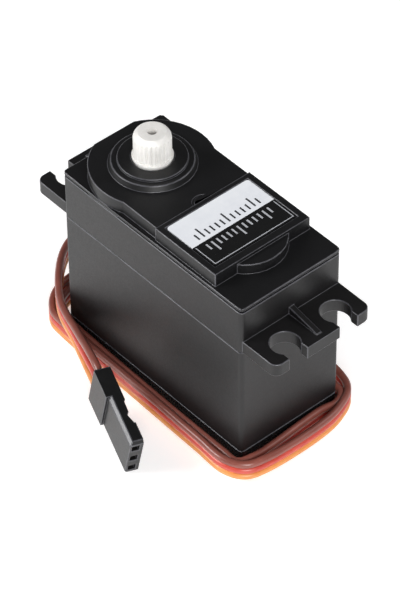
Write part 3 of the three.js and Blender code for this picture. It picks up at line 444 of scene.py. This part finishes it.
finishes = {
    # glass-filled nylon from a spark-eroded mould: black, a soft sheen under a fine even grain
    "sparkErodedNylon": {
        "dark": "#0e0d0e", "light": "#151415", "mottle": 3, "grain": 0.28, "roughness": (0.38, 0.5),
        "relief": 0.35, "shader": {"IOR": 1.47}},
    # the same nylon on the gear cover, a little finer and duller, its colour darker as painted shade for the
    # top faces
    "fineGrainNylonPaintedShade": {
        "dark": "#08080a", "light": "#0d0d0f", "mottle": 3, "grain": 0.26, "roughness": (0.4, 0.52),
        "relief": 0.3, "shader": {"IOR": 1.48}},
    # painted highlight on the rounded edges: nylon greyer and smoother than the case, so each edge draws a
    # thin light line
    "paintedHighlightNylon": {
        "dark": "#3a3a3e", "light": "#55555a", "mottle": 1.2, "grain": 0.3, "roughness": (0.26, 0.36),
        "relief": 0.1, "shader": {"IOR": 1.53}},
    # nylon from a polished mould: deep black and glossy
    "polishedMouldNylon": {
        "dark": "#0a0a0b", "light": "#0f0f10", "mottle": 4, "grain": 0.4, "roughness": (0.22, 0.32),
        "relief": 0.1, "shader": {"IOR": 1.53}},
    # small plug housing, satin moulded nylon
    "satinPlugNylon": {
        "dark": "#0e0e0f", "light": "#151516", "mottle": 2, "grain": 0.24, "roughness": (0.34, 0.46),
        "relief": 0.3, "shader": {"IOR": 1.5}},
    # moulded rubber: matt, dark, faintly dusty
    "mouldedRubber": {
        "dark": "#0c0c0c", "light": "#141414", "mottle": 2, "grain": 0.3, "roughness": (0.5, 0.65),
        "relief": 0.3, "shader": {"IOR": 1.52}},
    # natural nylon gear stock: warm white, slightly waxy
    "naturalNylon": {
        "dark": "#dedcd8", "light": "#ebe9e6", "mottle": 1.5, "grain": 0.3, "roughness": (0.36, 0.48),
        "relief": 0.12, "shader": {
            "IOR": 1.53, "Subsurface Weight": 0.2, "Subsurface Scale": 0.0006,
            "Subsurface Radius": (1, 0.95, 0.9)}},
    # polyester film printed silver: smooth and pale, with a faint mottle of the ink
    "silverPrint": {
        "dark": "#e4e7ed", "light": "#eff1f5", "mottle": 4, "grain": 0.5, "roughness": (0.28, 0.36),
        "relief": 0.05, "shader": {"IOR": 1.57}},
    # the same film printed black, a little glossier
    "blackPrint": {
        "dark": "#09090a", "light": "#0f0f10", "mottle": 4, "grain": 0.5, "roughness": (0.24, 0.32),
        "relief": 0.05, "shader": {"IOR": 1.57}},
    # screen inks for the scale and border: duller than the film under them
    "paleInk": {
        "dark": "#a9abb0", "light": "#babcc1", "mottle": 2, "grain": 0.3, "roughness": (0.4, 0.5),
        "relief": 0.1, "shader": {"IOR": 1.5}},
    "darkInk": {
        "dark": "#2a2b2e", "light": "#38393d", "mottle": 2, "grain": 0.3, "roughness": (0.4, 0.5),
        "relief": 0.1, "shader": {"IOR": 1.5}},
    # extruded soft PVC insulation: a slightly waxy gloss, faintly uneven
    "brownSoftPvc": {
        "dark": "#7a4238", "light": "#8c4f44", "mottle": 2.5, "grain": 0.5, "roughness": (0.26, 0.36),
        "relief": 0.12, "shader": {"IOR": 1.54}},
    "redSoftPvc": {
        "dark": "#b94236", "light": "#cb5245", "mottle": 2.5, "grain": 0.5, "roughness": (0.26, 0.36),
        "relief": 0.12, "shader": {"IOR": 1.54}},
    "orangeSoftPvc": {
        "dark": "#d48443", "light": "#e39a58", "mottle": 2.5, "grain": 0.5, "roughness": (0.26, 0.36),
        "relief": 0.12, "shader": {"IOR": 1.54}},
    # zinc-plated screws: cool grey, fine tumbled marks
    "zincPlatedSteel": {
        "dark": "#8b8d90", "light": "#b4b6b8", "mottle": 0.8, "grain": 0.22, "roughness": (0.28, 0.45),
        "relief": 0.2, "shader": {"Metallic": 1.0}},
    # ground pins: bright, fine lines round the pin drawn coarser than real
    "groundSteel": {
        "dark": "#a9abae", "light": "#cfd1d3", "mottle": 0.6, "grain": 0.22, "roughness": (0.18, 0.3),
        "relief": 0.15, "stretch": (1, 1, 6), "shader": {"Metallic": 1.0}},
    # hardened bearing steel, polished nearly to a mirror
    "polishedBearingSteel": {
        "dark": "#b9bbbd", "light": "#d6d7d9", "mottle": 1.5, "grain": 0.3, "roughness": (0.08, 0.18),
        "relief": 0.05, "shader": {"Metallic": 1.0}},
    # turned brass: yellow, with tool lines round the pinion
    "turnedBrass": {
        "dark": "#b08a3c", "light": "#d1ad5a", "mottle": 0.5, "grain": 0.2, "roughness": (0.2, 0.34),
        "relief": 0.2, "stretch": (1, 1, 5), "shader": {"Metallic": 1.0}},
    # deep-drawn can, nickel plated: long faint draw marks up the wall
    "drawnNickelSteel": {
        "dark": "#8e8d89", "light": "#b3b1ab", "mottle": 2, "grain": 0.3, "roughness": (0.22, 0.36),
        "relief": 0.15, "stretch": (1, 1, 0.12), "shader": {"Metallic": 1.0}},
    # black moulded end cap of the motor
    "mouldedPhenolic": {
        "dark": "#101011", "light": "#191918", "mottle": 1.5, "grain": 0.25, "roughness": (0.4, 0.55),
        "relief": 0.25, "shader": {"IOR": 1.6}},
    # sintered ferrite: dark grey, dry and granular
    "sinteredFerrite": {
        "dark": "#1d1e20", "light": "#2d2e31", "mottle": 0.7, "grain": 0.25, "roughness": (0.6, 0.8),
        "relief": 0.5, "shader": {"IOR": 1.9}},
    # stacked silicon-steel sheets, 0.5 mm each
    "laminatedIron": {
        "dark": "#3a3b3d", "light": "#77787b", "mottle": 1.2, "grain": 0.2, "roughness": (0.4, 0.6),
        "relief": 0.5, "layers": 0.5, "span": (0.0, 0.5), "shader": {"Metallic": 1.0}},
    # enamelled copper wire, turns drawn at 0.3 mm, coarser than the real 0.12 mm
    "enamelledCopperWire": {
        "dark": "#5a2410", "light": "#b5592a", "mottle": 0.8, "grain": 0.2, "roughness": (0.22, 0.34),
        "relief": 0.7, "depth": 0.05, "layers": 0.3, "across": "DIAGONAL", "span": (0.0, 0.45),
        "shader": {"Metallic": 0.85, "Coat Weight": 0.4, "Coat Roughness": 0.2}},
    # commutator copper: pink metal, scored round by the brushes
    "scoredCopper": {
        "dark": "#9a5636", "light": "#c98661", "mottle": 0.5, "grain": 0.2, "roughness": (0.2, 0.35),
        "relief": 0.25, "stretch": (1, 1, 6), "shader": {"Metallic": 1.0}},
    # pressed carbon: matt black with a few shiny grains
    "pressedCarbon": {
        "dark": "#0e0e0e", "light": "#1c1c1d", "mottle": 0.4, "grain": 0.2, "roughness": (0.45, 0.8),
        "relief": 0.4, "shader": {"IOR": 1.7}},
    # printed resistive track on its ring: matt, slightly streaky
    "printedCarbonTrack": {
        "dark": "#0c0c0d", "light": "#161617", "mottle": 0.6, "grain": 0.22, "roughness": (0.5, 0.62),
        "relief": 0.2, "shader": {"IOR": 1.6}},
    # dark blue-grey moulded body of the feedback resistor
    "mouldedPolyester": {
        "dark": "#141a28", "light": "#1e2536", "mottle": 1.2, "grain": 0.25, "roughness": (0.4, 0.52),
        "relief": 0.2, "shader": {"IOR": 1.56}},
    # nickel brass of the wiper and its shaft
    "nickelBrass": {
        "dark": "#a8925a", "light": "#c9b680", "mottle": 0.6, "grain": 0.2, "roughness": (0.22, 0.36),
        "relief": 0.15, "shader": {"Metallic": 1.0}},
    # thin hook-up wire in red PVC
    "hookUpPvc": {
        "dark": "#8a1c16", "light": "#a8261d", "mottle": 1, "grain": 0.3, "roughness": (0.3, 0.42),
        "relief": 0.12, "shader": {"IOR": 1.54}},
    # glass-epoxy laminate under green solder mask, with the weave just showing
    "solderMaskLaminate": {
        "dark": "#0b3a1d", "light": "#145029", "mottle": 1.4, "grain": 0.4, "roughness": (0.22, 0.34),
        "relief": 0.3, "layers": 0.6, "across": "X", "span": (0.0, 0.5), "shader": {"IOR": 1.55}},
    # moulded chip package: matt black with a faint grain
    "chipEpoxy": {
        "dark": "#101112", "light": "#1a1b1c", "mottle": 0.8, "grain": 0.2, "roughness": (0.45, 0.6),
        "relief": 0.3, "shader": {"IOR": 1.55}},
    # shrink sleeve over the capacitor can
    "shrinkSleeve": {
        "dark": "#151a38", "light": "#20264a", "mottle": 1, "grain": 0.3, "roughness": (0.25, 0.35),
        "relief": 0.1, "shader": {"IOR": 1.54}},
    # gold-flashed phosphor bronze contacts
    "goldFlashedBronze": {
        "dark": "#b9913f", "light": "#dcb863", "mottle": 0.6, "grain": 0.2, "roughness": (0.18, 0.3),
        "relief": 0.1, "shader": {"Metallic": 1.0}},
}
surface = {name: newMaterial(name, look) for name, look in finishes.items()}

caseFinish = {
    "middle_case": "sparkErodedNylon", "gear_case": "sparkErodedNylon", "top_cover": "fineGrainNylonPaintedShade",
    "bottom_cover": "polishedMouldNylon",
}
# each shell's rounded strips get the painted edge highlight in the second slot
for cad, name in caseFinish.items():
    finish([shellPieces[cad]], [surface[name], surface["paintedHighlightNylon"]])
finish([plugPiece], [surface["satinPlugNylon"], surface["paintedHighlightNylon"]])
finish([shellPieces["lead_grommet"]], [surface["mouldedRubber"]] * 2)
finish([shellPieces["output_gear"]], [surface["naturalNylon"]] * 2)
finish([leadPiece], [surface["brownSoftPvc"], surface["redSoftPvc"], surface["orangeSoftPvc"]])
printed = [surface[name] for name in ("silverPrint", "blackPrint", "paleInk", "darkInk")]
finish([labelPiece], printed)

# the pieces inside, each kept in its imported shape
innerFinish = {
    "zincPlatedSteel": ["case_screw_1", "case_screw_2", "case_screw_3", "case_screw_4"],
    "groundSteel": ["centre_pin", "upper_pin", "motor_shaft"],
    "naturalNylon": ["third_gear", "second_gear", "first_gear", "bearing_cage"],
    "turnedBrass": ["motor_pinion"],
    "polishedBearingSteel": ["bearing_outer_ring", "bearing_inner_ring"] + [
        "bearing_ball_%d" % k for k in range(1, 8)],
    "drawnNickelSteel": ["motor_can"],
    "mouldedPhenolic": ["motor_end_cap"],
    "sinteredFerrite": ["motor_magnet_1", "motor_magnet_2"],
    "laminatedIron": ["armature_core"],
    "enamelledCopperWire": ["armature_coil_1", "armature_coil_2", "armature_coil_3"],
    "scoredCopper": ["commutator"],
    "pressedCarbon": ["motor_brush_1", "motor_brush_2"],
    "mouldedPolyester": ["pot_housing", "pot_base"],
    "printedCarbonTrack": ["pot_track"],
    "nickelBrass": ["pot_shaft", "pot_wiper"],
    "hookUpPvc": ["pot_wire_1", "pot_wire_2", "pot_wire_3"],
    "solderMaskLaminate": ["circuit_board"],
    "chipEpoxy": ["control_chip", "driver_chip"],
    "shrinkSleeve": ["smoothing_capacitor"],
    "redSoftPvc": ["lead_root"],
    "goldFlashedBronze": ["plug_contact_1", "plug_contact_2", "plug_contact_3"],
}
for name, cadNames in innerFinish.items():
    finish([nodes[cad] for cad in cadNames], [surface[name]])
print("materials made")

studio = {
    "floor": "#f2f2f2",
    "floorSize": 3,
    "floorDrop": 0.05,  # mm under the case, so that the two faces stay apart
    "floorRoughness": 0.9,
    "lights": {
        "key": {"at": (-0.75, -0.95, 0.75), "size": 0.7, "power": 14},
        "fill": {"at": (0.95, -0.55, 0.65), "size": 0.7, "power": 13},
        "rear": {"at": (0.5, 0.9, 0.9), "size": 0.8, "power": 4},
    },
    "aim": (0, 0, 0.015),
    "sky": 0.12,
    "wall": 0.86,  # brightness of the pale wall behind, seen only by the camera
    "wallAway": 2.8,  # metres, past the lights
    "floorGlow": 0.46,  # a light table, so the floor stays white in the shadow
}


def makeStudio(spec):
    white, black = (1, 1, 1, 1), (0, 0, 0, 1)
    bm = bmesh.new()
    bmesh.ops.create_grid(bm, x_segments=2, y_segments=2, size=spec["floorSize"])
    floor = newObject("floor", bm)
    floor.location = (0, 0, -spec["floorDrop"] * mm)
    floor.data.materials.append(newPaint("paper", {
        "Base Color": linear(spec["floor"]), "Roughness": spec["floorRoughness"],
        "Emission Color": white, "Emission Strength": spec["floorGlow"],
    }))
    bm = bmesh.new()
    bmesh.ops.create_uvsphere(bm, u_segments=48, v_segments=24, radius=spec["wallAway"])
    wall = newObject("backWall", bm)
    wall.data.materials.append(newPaint("wallPaint", {
        "Base Color": black, "Specular IOR Level": 0,
        "Emission Color": white, "Emission Strength": spec["wall"],
    }))
    wall.visible_diffuse = wall.visible_glossy = wall.visible_transmission = wall.visible_shadow = False
    for name, one in spec["lights"].items():
        data = bpy.data.lights.new(name, "AREA")
        data.shape = "DISK"
        data.size = one["size"]
        data.energy = one["power"]
        lamp = bpy.data.objects.new(name, data)
        lamp.location = one["at"]
        way = Vector(spec["aim"]) - Vector(one["at"])
        lamp.rotation_euler = way.to_track_quat("-Z", "Y").to_euler()
        bpy.context.scene.collection.objects.link(lamp)
    world = bpy.data.worlds.new("sky")
    world.use_nodes = True
    background = world.node_tree.nodes["Background"]
    background.inputs["Color"].default_value = white
    background.inputs["Strength"].default_value = spec["sky"]
    bpy.context.scene.world = world
    bpy.context.scene.view_settings.view_transform = "Standard"


makeStudio(studio)
print("studio lit")
